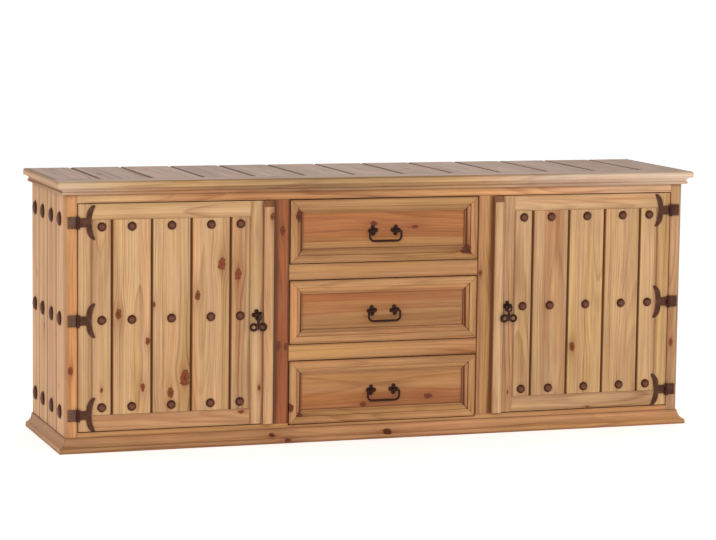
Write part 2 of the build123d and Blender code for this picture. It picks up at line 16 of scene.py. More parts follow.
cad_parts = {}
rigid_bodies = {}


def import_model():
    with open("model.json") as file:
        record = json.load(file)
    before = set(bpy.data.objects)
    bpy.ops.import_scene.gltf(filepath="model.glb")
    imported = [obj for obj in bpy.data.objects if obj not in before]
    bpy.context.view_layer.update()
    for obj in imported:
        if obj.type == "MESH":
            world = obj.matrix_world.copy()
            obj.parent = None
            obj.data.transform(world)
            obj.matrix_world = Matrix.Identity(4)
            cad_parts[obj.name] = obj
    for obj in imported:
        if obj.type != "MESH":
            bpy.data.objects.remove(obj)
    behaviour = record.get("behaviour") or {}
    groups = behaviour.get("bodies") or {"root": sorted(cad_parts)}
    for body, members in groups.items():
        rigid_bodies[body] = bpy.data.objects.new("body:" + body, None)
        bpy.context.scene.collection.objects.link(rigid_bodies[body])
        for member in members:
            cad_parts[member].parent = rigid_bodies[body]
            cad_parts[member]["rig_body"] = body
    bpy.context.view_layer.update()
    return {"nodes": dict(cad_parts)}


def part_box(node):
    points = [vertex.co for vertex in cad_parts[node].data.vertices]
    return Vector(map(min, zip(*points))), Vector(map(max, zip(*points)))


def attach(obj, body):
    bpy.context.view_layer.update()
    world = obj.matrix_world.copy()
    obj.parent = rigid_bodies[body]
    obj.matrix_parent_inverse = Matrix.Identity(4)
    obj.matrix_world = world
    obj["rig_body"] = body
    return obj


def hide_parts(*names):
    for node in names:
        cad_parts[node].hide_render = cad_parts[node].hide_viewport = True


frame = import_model()

# ---- Camera, placed as the photograph was taken ----
CAMERA_PLACE = (-2.431, -7.0735, 1.358)
CAMERA_AZIMUTH = math.radians(18.90)
CAMERA_PITCH = math.radians(6.95)
CAMERA_ROLL = math.radians(0.73)
CAMERA_LENS = 133.3
CAMERA_SIGHT = 100


def make_camera():
    data = bpy.data.cameras.new("camera")
    data.lens = CAMERA_LENS
    data.clip_end = CAMERA_SIGHT
    forward = Vector(
        (
            math.sin(CAMERA_AZIMUTH) * math.cos(CAMERA_PITCH),
            math.cos(CAMERA_AZIMUTH) * math.cos(CAMERA_PITCH),
            -math.sin(CAMERA_PITCH),
        )
    )
    level = Vector((math.cos(CAMERA_AZIMUTH), -math.sin(CAMERA_AZIMUTH), 0))
    up = level.cross(forward)
    right = math.cos(CAMERA_ROLL) * level + math.sin(CAMERA_ROLL) * up
    up = math.cos(CAMERA_ROLL) * up - math.sin(CAMERA_ROLL) * level
    turn = Matrix((right, up, -forward)).transposed()
    camera = bpy.data.objects.new("camera", data)
    camera.matrix_world = Matrix.Translation(CAMERA_PLACE) @ turn.to_4x4()
    bpy.context.scene.collection.objects.link(camera)
    bpy.context.scene.camera = camera


make_camera()

# ---- Studio ----
WHITE = (1, 1, 1, 1)
# How bright the sky is, and up to which height, or from which height, as a share of a unit ball's
WALL_LIGHT, WALL_TOP = 1.05, 0.06
CEILING_LIGHT, CEILING_START = 0.45, 0.7
# Soft boxes: place, the point it faces, width and height, power, tint
SOFT_BOXES = {
    "key": ((-2.6, -4.6, 2.6), (0, 0, 0.35), (2.4, 1.8), 75, (1, 0.97, 0.93)),
    "fill": ((3.4, -4.0, 1.8), (0.2, 0, 0.35), (2.4, 2.4), 22, (0.96, 0.98, 1)),
    "back": ((0.5, 2.6, 2.8), (0, 0, 0.7), (3.2, 1.4), 14, (1, 1, 1)),
}


def soft_box(name, place, target, size, power, tint):
    data = bpy.data.lights.new(name, "AREA")
    data.shape = "RECTANGLE"
    data.size, data.size_y = size
    data.energy = power
    data.color = tint
    light = bpy.data.objects.new(name, data)
    light.location = place
    light.rotation_mode = "QUATERNION"
    light.rotation_quaternion = (Vector(target) - Vector(place)).to_track_quat("-Z", "Y")
    bpy.context.scene.collection.objects.link(light)


def make_studio():
    """Bright walls, a dimmer ceiling and three soft boxes."""
    scene = bpy.context.scene
    scene.view_settings.view_transform = "Standard"
    world = bpy.data.worlds.new("studio")
    scene.world = world
    world.use_nodes = True
    nodes, links = world.node_tree.nodes, world.node_tree.links
    where = nodes.new("ShaderNodeTexCoord")
    split = nodes.new("ShaderNodeSeparateXYZ")
    ramp = nodes.new("ShaderNodeMapRange")
    ramp.interpolation_type = "SMOOTHSTEP"
    heights = {"From Min": WALL_TOP, "From Max": CEILING_START, "To Min": WALL_LIGHT, "To Max": CEILING_LIGHT}
    for name, value in heights.items():
        ramp.inputs[name].default_value = value
    links.new(where.outputs["Generated"], split.inputs[0])
    links.new(split.outputs["Z"], ramp.inputs["Value"])
    links.new(ramp.outputs[0], nodes["Background"].inputs["Strength"])
    nodes["Background"].inputs["Color"].default_value = WHITE
    for name, settings in SOFT_BOXES.items():
        soft_box(name, *settings)


make_studio()

# ---- Node helpers ----
NOISE_MIDDLE = 0.5
CREVICE_SAMPLES = 4


class Tree:
    """A material's node tree, with one short call for each kind of node."""

    def __init__(self, name):
        self.material = bpy.data.materials.new(name)
        self.material.use_nodes = True
        self.tree = self.material.node_tree
        self.shader = self.tree.nodes["Principled BSDF"]

    def put(self, socket, value):
        if isinstance(value, bpy.types.NodeSocket):
            self.tree.links.new(value, socket)
        else:
            socket.default_value = value

    def surface(self, name, value):
        """Sets an input of the material's shader, or links it."""
        self.put(self.shader.inputs[name], value)

    def add(self, kind, *values, **settings):
        made = self.tree.nodes.new("ShaderNode" + kind)
        for key, value in settings.items():
            setattr(made, key, value)
        for socket, value in zip(made.inputs, values):
            if value is not None:
                self.put(socket, value)
        return made

    def math(self, operation, *values):
        return self.add("Math", *values, operation=operation).outputs[0]

    def plus(self, a, b):
        return self.math("ADD", a, b)

    def minus(self, a, b):
        return self.math("SUBTRACT", a, b)

    def times(self, a, b):
        return self.math("MULTIPLY", a, b)

    def onto(self, base, value, share):
        """The base with a share of a value added to it."""
        return self.math("MULTIPLY_ADD", value, share, base)

    def vector(self, operation, *values):
        return self.add("VectorMath", *values, operation=operation)

    def scale(self, vector, factors):
        """A vector with each part multiplied by its own factor."""
        return self.vector("MULTIPLY", vector, factors).outputs[0]

    def length(self, vector):
        return self.vector("LENGTH", vector).outputs[1]

    def mix(self, share, a, b, blend="MIX", clamp=True):
        made = self.tree.nodes.new("ShaderNodeMix")
        made.data_type = "RGBA"
        made.blend_type = blend
        made.clamp_factor = clamp
        for name, value in (("Factor_Float", share), ("A_Color", a), ("B_Color", b)):
            socket = next(s for s in made.inputs if s.identifier == name)
            self.put(socket, value)
        return next(s for s in made.outputs if s.identifier == "Result_Color")

    def span(self, value, low, high, to_low=0.0, to_high=1.0):
        """Where a value lies between two others, smoothly and never past the ends."""
        return self.add("MapRange", value, low, high, to_low, to_high, interpolation_type="SMOOTHSTEP").outputs[0]

    def noise(self, place, scale, detail=2.0, roughness=0.5):
        made = self.tree.nodes.new("ShaderNodeTexNoise")
        self.put(made.inputs["Vector"], place)
        for name, value in (("Scale", scale), ("Detail", detail), ("Roughness", roughness)):
            made.inputs[name].default_value = value
        return made.outputs["Fac"]

    def attribute(self, name, output="Vector"):
        return self.add("Attribute", attribute_name=name).outputs[output]

    def split(self, vector):
        return self.add("SeparateXYZ", vector).outputs

    def join(self, x, y, z):
        return self.add("CombineXYZ", x, y, z).outputs[0]

    def openness(self, reach, inside=False):
        """1 in the open, less in crevices of that reach, or on the inside, less near edges."""
        made = self.add("AmbientOcclusion", samples=CREVICE_SAMPLES, inside=inside)
        made.inputs["Distance"].default_value = reach
        return made.outputs["AO"]

    def bump(self, height, strength, distance):
        made = self.add("Bump")
        made.inputs["Strength"].default_value = strength
        made.inputs["Distance"].default_value = distance
        self.put(made.inputs["Height"], height)
        self.surface("Normal", made.outputs[0])


def colour(text):
    """Linear colour, with alpha, of an sRGB hex code."""
    parts = [int(text[i : i + 2], 16) / 255 for i in (0, 2, 4)]
    return tuple(p / 12.92 if p <= 0.04045 else ((p + 0.055) / 1.055) ** 2.4 for p in parts) + (1,)


# ---- Wood ----
# Slot, or the name of another wood in it: wood between the rings, wood of the rings, stain in the grooves (also
# the colour of grime and of painted shade and shadow), roughness, specular level
WOODS = {
    "door_pine": ("c49d72", "7f4f28", "633a16", 0.54, 0.28),
    "frame_pine": ("bd8b5b", "7b4822", "62320f", 0.54, 0.28),
    "pale_pine": ("cfa57a", "8f633a", "6a3418", 0.54, 0.28),
    "reddish_pine": ("9f5c36", "6b3416", "5a3413", 0.52, 0.28),
    "side_pine": ("d4a475", "98683c", "653c1a", 0.56, 0.28),
    # The top's wood is greyer than the other pine: painted sheen is in its colours
    "top_pine": ("bd9a82", "8d6b56", "6a4832", 0.52, 0.40),
    "crown_pine": ("cba176", "84552c", "5a3413", 0.54, 0.28),
    "base_pine": ("ba885c", "744524", "5a3413", 0.54, 0.28),
    "drawer_frame_pine": ("bb8b5b", "774a28", "5a2408", 0.54, 0.28),
    "drawer_panel_pine": ("b07e4f", "743f1e", "5a2408", 0.52, 0.28),
    "drawer_box_pine": ("d3b48a", "b48d5c", "7a5530", 0.62, 0.25),
    "inner_pine": ("cdae84", "aa8353", "7a5530", 0.62, 0.25),
}
# Nodes in another wood than their slot's own
OTHER_WOOD = dict.fromkeys(("right_corner_post", "left_door_cover_strip", "right_door_cover_strip"), "pale_pine")

# Noise drawn out along the grain: how often it changes along the board and across it, detail, roughness, and how
# far across it is read, so that two of them differ
GRAINS = {
    "bend": (2.2, 7.0, 2.0, 0.5, 0.0),
    "sag": (1.4, 4.0, 1.0, 0.5, 17.0),
    "waves": (9.0, 150.0, 3.0, 0.6, 0.0),
    "streak": (1.8, 75.0, 3.0, 0.62, 0.0),
    "thread": (5.0, 300.0, 2.0, 0.5, 0.0),
    "fibre": (24.0, 800.0, 2.0, 0.5, 0.0),
    "hue": (1.3, 24.0, 2.0, 0.5, 31.0),
    "broad_hue": (0.9, 9.0, 2.0, 0.5, 71.0),
    "gleam": (7.0, 9.0, 2.0, 0.5, 51.0),
    "uneven": (6.0, 28.0, 1.0, 0.5, 0.0),
}
# How far the rings' centre wanders sideways and in depth, its slant along the board, and the rings' own waves
PITH_BEND, PITH_SAG, PITH_SLANT, RING_WAVES = 0.03, 0.05, 0.012, 0.0012
RING_SPACING = 0.0056
# How often noise over a few rings, and over many, changes outwards and along the board
YEARS = (150.0, 0.5)
DECADES = (42.0, 0.7)
# How many rings a decade's noise shifts them by
RING_CROWDING = 2.4
# Where in a ring its dark late wood begins and ends, and how dark it is, for the years' noise between two values
LATE_WOOD_BEGINS = (0.3, 0.86)
LATE_WOOD_ENDS = (1.0, 0.9)
LATE_WOOD_YEARS = (0.35, 0.68, 0.15, 1.0)
# What makes the wood darker, as shares, and the least and the most that they come to
LATE_WOOD_FIGURE = 0.45
DECADE_FIGURE = (0.36, 0.72, 0.0, 0.32)
EVEN_FIGURE = 0.07
STREAK_FIGURE, THREAD_FIGURE, FIBRE_FIGURE, HALO_FIGURE = 1.1, 0.6, 0.4, 0.5
LEAST_FIGURE, MOST_FIGURE = -0.25, 1.2

# Casts that multiply the wood's colour
PINK_CAST = (1.06, 0.93, 0.86, 1)
GOLD_CAST = (1.0, 1.0, 0.84, 1)
HEARTWOOD_CAST = (0.88, 0.64, 0.52, 1)
PALE_CAST = (0.9, 1.12, 1.62, 1)
# Shares of a board's own hue and of the broad noise in its hue, and the hue at which a cast is full
OWN_HUE, BROAD_HUE, FULL_HUE = 0.09, 0.9, 0.22
# Far from its darkest place a board turns pale, between two distances, and lighter with each metre
PALE_FROM = (0.35, 0.8)
FAR_LIGHTNESS = 2.2
TONE_LIGHTNESS, GLEAM_LIGHTNESS = 0.3, 0.32
# The edge of the heartwood: how soft it is, and how far streaks push it
HEARTWOOD_EDGE, HEARTWOOD_FRAY = 0.006, 0.03

KNOTS_PER_BOARD = 4
# Far off the board's end, so that it shows nowhere
NO_KNOT = (-9.0, 0.0, 0.004)
KNOT_BODY = colour("7d3a12")
KNOT_HEART = colour("5c2408")
KNOT_RIM = colour("431b05")
KNOT_HALO = colour("90501f")
KNOT_SHADE = {"drawer_frame_pine": 0.55, "drawer_panel_pine": 0.8, "reddish_pine": 0.75, "base_pine": 0.55}
IN_FACE = (1, 1, 0)
# Distance from a knot, in its radii, is less along the grain: factors for its body, its halo and the grain's flow
KNOT_SHAPE = (0.6, 1, 0)
HALO_SHAPE = (0.26, 0.9, 0)
FLOW_SHAPE = (0.21, 0.42, 0)
KNOT_WOBBLE_SCALE, KNOT_WOBBLE = 120.0, 1.2
GRAIN_PUSH = -0.88
# Body, heart and rim by the distance from the middle, and how fast rim and halo fall off
KNOT_EDGE = (1.08, 0.88)
HEART_EDGE = (0.5, 0.1)
RIM_PLACE, RIM_FALL, HALO_FALL = 0.96, -45.0, -1.1
HALO_SHARE, RIM_SHARE = 0.5, 0.6

# Painted shade and dirt in crevices: its reach, and its share by openness, less again where it is all but shut
CREVICE_SHADE_AND_DIRT = colour("5a290c")
CREVICE_REACH = {
    "drawer_frame_pine": 0.006,
    "drawer_panel_pine": 0.006,
    "crown_pine": 0.009,
    "door_pine": 0.007,
    "top_pine": 0.004,
}
USUAL_CREVICE_REACH = 0.015
SHADE_AND_DIRT_BY_OPENNESS = (0.9, 0.42)
SHADE_AND_DIRT_WHERE_SHUT = (0.02, 0.3, 0.0, 0.8)
# Grime along edges, and painted shadow beside the doors' cover strips: threads of grain fray it, and it fades
# between two shares of its reach
GRIME_AND_SHADOW_FRAY = 0.8
GRIME_AND_SHADOW_FADE = (1.0, 0.7)
# What roughness gains from streaks, knots, and stain with its painted shade
STREAK_GLOSS, KNOT_GLOSS, STAIN_AND_SHADE_GLOSS = 0.3, -0.08, 0.25
# What height gains from fibres, late wood and uneven planing, and the bump's strength and distance
FIBRE_HEIGHT, LATE_WOOD_HEIGHT, UNEVEN_HEIGHT = 0.5, 0.5, 2.0
WOOD_BUMP = (0.5, 0.0004)


def knot_terms(t, place):
    """How far a board's knots push the grain aside, and the masks of body, rim, heart and halo."""
    push, body, rim, heart, halo = 0.0, 0.0, 0.0, 0.0, 0.0
    flat = t.scale(place, IN_FACE)
    wobble = t.minus(t.noise(place, KNOT_WOBBLE_SCALE), NOISE_MIDDLE)
    for number in range(KNOTS_PER_BOARD):
        at = t.attribute(f"knot{number}")
        size = t.split(at)[2]
        off = t.vector("SUBTRACT", flat, t.scale(at, IN_FACE)).outputs[0]
        near = t.vector("DIVIDE", off, t.join(size, size, 1.0)).outputs[0]
        round_off = t.onto(t.length(t.scale(near, KNOT_SHAPE)), wobble, KNOT_WOBBLE)
        long_off = t.length(t.scale(near, HALO_SHAPE))
        flow = t.scale(near, FLOW_SHAPE)
        reach = t.math("EXPONENT", t.times(t.vector("DOT_PRODUCT", flow, flow).outputs[1], -1.0))
        push = t.onto(push, t.times(t.split(off)[1], reach), GRAIN_PUSH)
        body = t.math("MAXIMUM", body, t.span(round_off, *KNOT_EDGE))
        edge = t.minus(round_off, RIM_PLACE)
        rim = t.math("MAXIMUM", rim, t.math("EXPONENT", t.times(t.times(edge, edge), RIM_FALL)))
        heart = t.math("MAXIMUM", heart, t.span(round_off, *HEART_EDGE))
        halo = t.math("MAXIMUM", halo, t.math("EXPONENT", t.times(long_off, HALO_FALL)))
    return push, body, rim, heart, halo


def growth_rings(t, grain, place, pith):
    """The dark late wood of the growth rings round the pith, and noise over many rings."""
    along, across, through = place
    aside = t.onto(t.minus(across, pith[0]), grain("bend"), PITH_BEND)
    below = t.onto(t.minus(through, pith[1]), grain("sag"), PITH_SAG)
    below = t.onto(below, along, PITH_SLANT)
    radius = t.math("SQRT", t.plus(t.times(aside, aside), t.times(below, below)))
    radius = t.onto(radius, grain("waves"), RING_WAVES)
    year, decade = [
        t.noise(t.join(t.times(radius, outwards), t.times(along, lengthways), pith[2]), 1.0)
        for outwards, lengthways in (YEARS, DECADES)
    ]
    part = t.math("FRACT", t.onto(t.math("DIVIDE", radius, RING_SPACING), decade, RING_CROWDING))
    late = t.times(t.span(part, *LATE_WOOD_BEGINS), t.span(part, *LATE_WOOD_ENDS))
    return t.times(late, t.span(year, *LATE_WOOD_YEARS)), decade


def cast(t, wood, grain, tone, from_darkest):
    """Wood with its pink and golden casts, paler and lighter or darker by its place and tone."""
    hue = t.onto(t.onto(grain("hue"), tone[1], OWN_HUE), grain("broad_hue"), BROAD_HUE)
    wood = t.mix(t.span(hue, 0.0, FULL_HUE), wood, PINK_CAST, "MULTIPLY")
    wood = t.mix(t.span(hue, 0.0, -FULL_HUE), wood, GOLD_CAST, "MULTIPLY")
    far = t.math("ABSOLUTE", from_darkest)
    wood = t.mix(t.span(far, *PALE_FROM), wood, PALE_CAST, "MULTIPLY")
    lit = t.vector("SCALE", wood)
    lightness = t.onto(1.0, t.onto(tone[0], far, FAR_LIGHTNESS), TONE_LIGHTNESS)
    t.put(lit.inputs["Scale"], t.times(t.onto(1.0, grain("gleam"), GLEAM_LIGHTNESS), lightness))
    return lit.outputs[0]


def figure_share(t, late, decade, strength, halo, streaks):
    """How dark the figure makes the wood. streaks holds pairs of noise and its share."""
    figure = t.plus(t.times(late, t.times(strength, LATE_WOOD_FIGURE)), t.span(decade, *DECADE_FIGURE))
    figure = t.plus(figure, EVEN_FIGURE)
    for value, share in (*streaks, (halo, HALO_FIGURE)):
        figure = t.onto(figure, value, share)
    return t.math("MINIMUM", t.math("MAXIMUM", figure, LEAST_FIGURE), MOST_FIGURE)


def dirty_and_shaded(t, wood, slot, thread, stained):
    """Wood with painted shade and dirt in its crevices, grime and painted shadow along its edges, and stain with
    painted shade in its grooves and on its steps.
    """
    stain = t.attribute("stain", "Fac")
    openness = t.openness(CREVICE_REACH.get(slot, USUAL_CREVICE_REACH))
    # Painted shade and dirt: darker where the surroundings close in
    shade_and_dirt = t.times(t.span(openness, *SHADE_AND_DIRT_BY_OPENNESS), t.span(openness, *SHADE_AND_DIRT_WHERE_SHUT))
    wood = t.mix(shade_and_dirt, wood, CREVICE_SHADE_AND_DIRT)
    from_low, from_high, grime_and_shadow = t.split(t.attribute("edge"))
    inward = t.onto(t.math("MINIMUM", from_low, from_high), thread, GRIME_AND_SHADOW_FRAY)
    # Grime, and painted shadow beside the cover strips, in the stain's colour
    wood = t.mix(t.times(t.span(inward, *GRIME_AND_SHADOW_FADE), grime_and_shadow), wood, stained)
    return t.mix(stain, wood, stained), stain


def pine(slot):
    """Waxed pine: growth rings of a log cut at each board's own place, that flow round its knots."""
    light, dark, stained, rough, shine = WOODS[slot]
    t = Tree(slot)
    place = t.attribute("grain")
    pith = t.split(t.attribute("pith"))
    tone = t.split(t.attribute("tone"))
    along, across, through = t.split(place)
    push, body, rim, heart, halo = knot_terms(t, place)
    across = t.plus(across, push)
    own = t.plus(along, pith[2])

    def grain(name):
        stretch, fineness, detail, roughness, apart = GRAINS[name]
        line = t.join(t.times(own, stretch), t.onto(apart, across, fineness), t.times(through, fineness))
        return t.minus(t.noise(line, 1.0, detail, roughness), NOISE_MIDDLE)

    late, decade = growth_rings(t, grain, (along, across, through), pith)
    streak, thread, fibre = [grain(name) for name in ("streak", "thread", "fibre")]
    streaks = ((streak, STREAK_FIGURE), (thread, THREAD_FIGURE), (fibre, FIBRE_FIGURE))
    figure = figure_share(t, late, decade, tone[2], halo, streaks)
    wood = t.mix(figure, colour(light), colour(dark), clamp=False)
    level, redness, from_darkest = t.split(t.attribute("heartwood"))
    wood = cast(t, wood, grain, tone, from_darkest)
    above = t.math("DIVIDE", t.minus(t.onto(across, streak, HEARTWOOD_FRAY), level), HEARTWOOD_EDGE)
    within = t.span(t.times(above, t.math("SIGN", redness)), -1.0, 1.0)
    wood = t.mix(t.times(within, t.math("ABSOLUTE", redness)), wood, HEARTWOOD_CAST, "MULTIPLY")
    wood = t.mix(t.times(halo, HALO_SHARE), wood, KNOT_HALO)
    shade = KNOT_SHADE.get(slot, 1.0)
    knot_body, knot_heart = [tuple(c * shade for c in full[:3]) + (1,) for full in (KNOT_BODY, KNOT_HEART)]
    wood = t.mix(body, wood, t.mix(heart, knot_body, knot_heart))
    wood = t.mix(t.times(rim, RIM_SHARE), wood, KNOT_RIM)
    wood, stain = dirty_and_shaded(t, wood, slot, thread, colour(stained))
    t.surface("Base Color", wood)
    gloss = t.onto(t.onto(rough, streak, STREAK_GLOSS), body, KNOT_GLOSS)
    t.surface("Roughness", t.onto(gloss, stain, STAIN_AND_SHADE_GLOSS))
    height = t.onto(t.times(late, LATE_WOOD_HEIGHT), fibre, FIBRE_HEIGHT)
    t.bump(t.onto(height, grain("uneven"), UNEVEN_HEIGHT), *WOOD_BUMP)
    t.surface("Specular IOR Level", shine)
    return t.material


# ---- Iron ----
IRON_PITS = colour("1c0c05")
# Worn iron, also the colour of the painted highlight on the crowns of domes
IRON_WORN_AND_HIGHLIGHT = colour("7a4c38")
# Rust, also the colour of painted shade at the feet of domes and on hinge knuckles
IRON_RUST_AND_SHADE = colour("381005")
IRON_SHEEN = (1.0, 0.78, 0.64, 1.0)
IRON_METAL = 0.25
IRON_SPECULAR = 0.35
# Noise of scale, detail and roughness, in blotches and in specks
BLOTCHES = (60.0, 3.0, 0.6)
SPECKS = (420.0, 2.0, 0.6)
# Rust by blotches, pits by specks, and roughness by blotches
RUST_BY_BLOTCH = (0.35, 0.7)
PITS_BY_SPECK = (0.5, 0.78)
ROUGH_BY_BLOTCH = (0.3, 0.7, 0.42, 0.6)
# Wear near edges: their reach, its share by openness of the inside, and by specks
IRON_EDGE = 0.0012
WORN_BY_OPENNESS = (0.9, 0.35)
WORN_BY_SPECK = (0.35, 0.65, 0.15, 0.7)
# By the rim attribute: a painted highlight on the crown of a dome, and rust with painted shade at its foot and on
# hinge knuckles
CROWN_HIGHLIGHT = (0.7, 0.1, 0.0, 0.4)
RIM_RUST_AND_SHADE = (0.5, 0.95, 0.0, 0.9)
IRON_CREVICE = 0.008
RUST_BY_OPENNESS = (0.7, 0.2)
DENT_SCALE = 230.0
SPECK_HEIGHT = 0.3
IRON_BUMP = (0.45, 0.0005)


def forged_iron(name, base, rust, domed=False):
    """Dark forged iron: brown oxide, rust in the low spots, worn paler along its edges; a painted highlight on the
    crowns of domes, and painted shade with rust at their feet and on knuckles.
    """
    t = Tree(name)
    place = t.add("TexCoord").outputs["Object"]
    blotch, speck = t.noise(place, *BLOTCHES), t.noise(place, *SPECKS)
    body = t.mix(t.span(blotch, *RUST_BY_BLOTCH), colour(base), colour(rust))
    body = t.mix(t.span(speck, *PITS_BY_SPECK), body, IRON_PITS)
    worn = t.times(t.span(t.openness(IRON_EDGE, inside=True), *WORN_BY_OPENNESS), t.span(speck, *WORN_BY_SPECK))
    body = t.mix(worn, body, IRON_WORN_AND_HIGHLIGHT)
    rim = t.attribute("rim", "Fac")
    if domed:
        # Painted highlight: the crown of a dome lighter
        body = t.mix(t.span(rim, *CROWN_HIGHLIGHT), body, IRON_WORN_AND_HIGHLIGHT)
    # Rust and painted shade at the foot of a dome, and over hinge knuckles
    body = t.mix(t.span(rim, *RIM_RUST_AND_SHADE), body, IRON_RUST_AND_SHADE)
    body = t.mix(t.span(t.openness(IRON_CREVICE), *RUST_BY_OPENNESS), body, IRON_RUST_AND_SHADE)
    t.surface("Base Color", body)
    t.surface("Metallic", IRON_METAL)
    t.surface("Specular IOR Level", IRON_SPECULAR)
    t.surface("Specular Tint", IRON_SHEEN)
    t.surface("Roughness", t.span(blotch, *ROUGH_BY_BLOTCH))
    dents = t.tree.nodes.new("ShaderNodeTexVoronoi")
    dents.feature = "SMOOTH_F1"
    t.put(dents.inputs["Vector"], place)
    dents.inputs["Scale"].default_value = DENT_SCALE
    t.bump(t.onto(dents.outputs["Distance"], speck, SPECK_HEIGHT), *IRON_BUMP)
    return t.material


MATERIALS = {slot: pine(slot) for slot in WOODS}
MATERIALS["iron"] = forged_iron("iron", "583122", "6b402f", domed=True)
PLATE_IRON = forged_iron("plate_iron", "422216", "5c382a")
# Painted reflection: a lighter, greyer copy of the plate iron, for leaves that catch a sheen
SHEEN_PLATE_IRON = forged_iron("sheen_plate_iron", "5a4032", "6b5244")
PULL_IRON = forged_iron("pull_iron", "200d07", "30120a")


# ---- Solids of a CAD node ----
SAME_POINT = 2e-6
POINT_KEY = 1e5
# Angles in degrees: between faces that are one, at an edge that wears round, and below which a form shades smooth
FLAT_ANGLE = 1
SHARP_ANGLE = 24
WOOD_SMOOTH = 40
PLATE_SMOOTH = 50
IRON_SMOOTH = 60
EVEN_BEVEL = 0.5


def shells(node):
    """The separate solids of a CAD node, each as a list of faces of points. A solid ends where its faces close."""
    mesh = frame["nodes"][node].data
    points = [v.co.copy() for v in mesh.vertices]
    keys = [tuple(round(c * POINT_KEY) for c in p) for p in points]
    found, faces, loose = [], [], set()
    for polygon in mesh.polygons:
        corners = list(polygon.vertices)
        faces.append([points[i] for i in corners])
        ids = [keys[i] for i in corners]
        for a, b in zip(ids, ids[1:] + ids[:1]):
            if (b, a) in loose:
                loose.remove((b, a))
            else:
                loose.add((a, b))
        if not loose:
            found.append(faces)
            faces = []
    return found


def solid_mesh(faces, wear, segments):
    """A bmesh of one solid, its flat faces whole again and its sharp edges worn round."""
    bm = bmesh.new()
    for corners in faces:
        bm.faces.new([bm.verts.new(p) for p in corners])
    bmesh.ops.remove_doubles(bm, verts=bm.verts, dist=SAME_POINT)
    bmesh.ops.dissolve_limit(bm, angle_limit=math.radians(FLAT_ANGLE), verts=bm.verts, edges=bm.edges)
    sharp = [e for e in bm.edges if e.is_manifold and e.calc_face_angle() > math.radians(SHARP_ANGLE)]
    if sharp:
        bmesh.ops.bevel(
            bm,
            geom=sharp,
            offset=wear,
            segments=segments,
            profile=EVEN_BEVEL,
            affect="EDGES",
            clamp_overlap=True,
        )
    return bm


def span_of(points):
    """The lowest and the highest corner of the box round points."""
    low = Vector([min(p[i] for p in points) for i in range(3)])
    high = Vector([max(p[i] for p in points) for i in range(3)])
    return low, high


def span_of_faces(faces):
    return span_of([p for face in faces for p in face])


def middle_of(faces):
    low, high = span_of_faces(faces)
    return (low + high) / 2


def node_slot(node):
    return frame["nodes"][node].data.materials[0].name


def write(mesh, name, kind, domain, values):
    made = mesh.attributes.new(name, kind, domain)
    made.data.foreach_set("value" if kind == "FLOAT" else "vector", values)


def show(name, mesh, material, node, smooth_below, body=None):
    """Puts a piece in the scene in place of its CAD node, on that node's body unless another is given."""
    for polygon in mesh.polygons:
        polygon.use_smooth = True
    mesh.set_sharp_from_angle(angle=math.radians(smooth_below))
    mesh.materials.clear()
    mesh.materials.append(material)
    piece = bpy.data.objects.new(name, mesh)
    bpy.context.scene.collection.objects.link(piece)
    normals = piece.modifiers.new("normals", "WEIGHTED_NORMAL")
    normals.keep_sharp = True
    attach(piece, body or frame["nodes"][node]["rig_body"])
    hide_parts(node)


def show_iron(node, meshes, material, smooth_below=IRON_SMOOTH, rims=None):
    """Puts iron in place of its CAD node. rims gives, for a mesh, how near a rim each point is, where rust and
    painted shade darken it.
    """
    mesh = join_meshes(node + "_iron", meshes)
    if rims:
        write(mesh, "rim", "FLOAT", "POINT", rims(mesh))
    show(node + "_iron", mesh, material, node, smooth_below)


def join_meshes(name, meshes):
    """One mesh of several bmeshes."""
    whole = bmesh.new()
    for bm in meshes:
        part = bpy.data.meshes.new("part")
        bm.to_mesh(part)
        bm.free()
        whole.from_mesh(part)
        bpy.data.meshes.remove(part)
    bmesh.ops.recalc_face_normals(whole, faces=whole.faces)
    mesh = bpy.data.meshes.new(name)
    whole.to_mesh(mesh)
    whole.free()
    return mesh


# ---- Boards ----
MM_PER_METRE = 1000
# Knots that catch the eye, as x, z and radius on the face at rest, in millimetres
FRONT_KNOTS = {
    "left_door_planks": [
        (-535, 415, 7), (-755, 372, 8), (-657, 394, 4), (-570, 190, 13), (-610, 152, 8),
        (-687, 170, 6), (-422, 471, 9), (-468, 500, 10), (-801, 167, 4),
    ],
    "left_door_frame": [(-360, 155, 4)],
    "left_centre_stile": [(-296, 587, 7), (-307, 267, 8), (-285, 266, 5)],
    "right_door_planks": [(570, 235, 8)],
    "upper_drawer_panel": [(-31, 600, 6), (90, 588, 5)],
    "upper_drawer_frame": [(-250, 625, 9), (243, 519, 10)],
    "lower_drawer_panel": [(-55, 95, 6), (136, 110, 7), (-70, 207, 6)],
    "lower_drawer_frame": [(-269, 95, 7), (-244, 75, 5)],
    "base_moulding": [(10, 18, 7), (-282, 8, 5)],
}  # fmt: skip
# How light or, below zero, dark the boards of a node are, from left to right and then from front to back and from
# low to high. Boards that aren't named have a tone of their own
BOARD_TONES = {
    "left_door_planks": (0.05, 0.3, -0.02, -0.05, -0.17),
    "left_door_frame": (0.05, -0.4, 0.12, 0.0),
    "right_door_planks": (0.0, -0.12, 0.2, 0.2, 0.1),
    "right_door_frame": (-0.3, -0.15, 0.15, 0.35),
    "left_corner_post": (0.72,),
    "right_corner_post": (-0.4,),
    "left_centre_stile": (0.0,),
    "right_centre_stile": (-0.2,),
    "left_door_cover_strip": (-0.15,),
    "right_door_cover_strip": (-0.05,),
    "top_rail": (0.2,),
    "crown_moulding": (None, -1.2, None),
    "upper_drawer_frame": (0.0, 0.0, -0.55, 0.0),
    "drawer_rails": (-0.12, -0.3),
    "upper_drawer_panel": (0.03,),
    "middle_drawer_panel": (-0.45,),
    "lower_drawer_panel": (0.0,),
    "base_moulding": (0.1, 0.1, 0.1, 0.1),
}
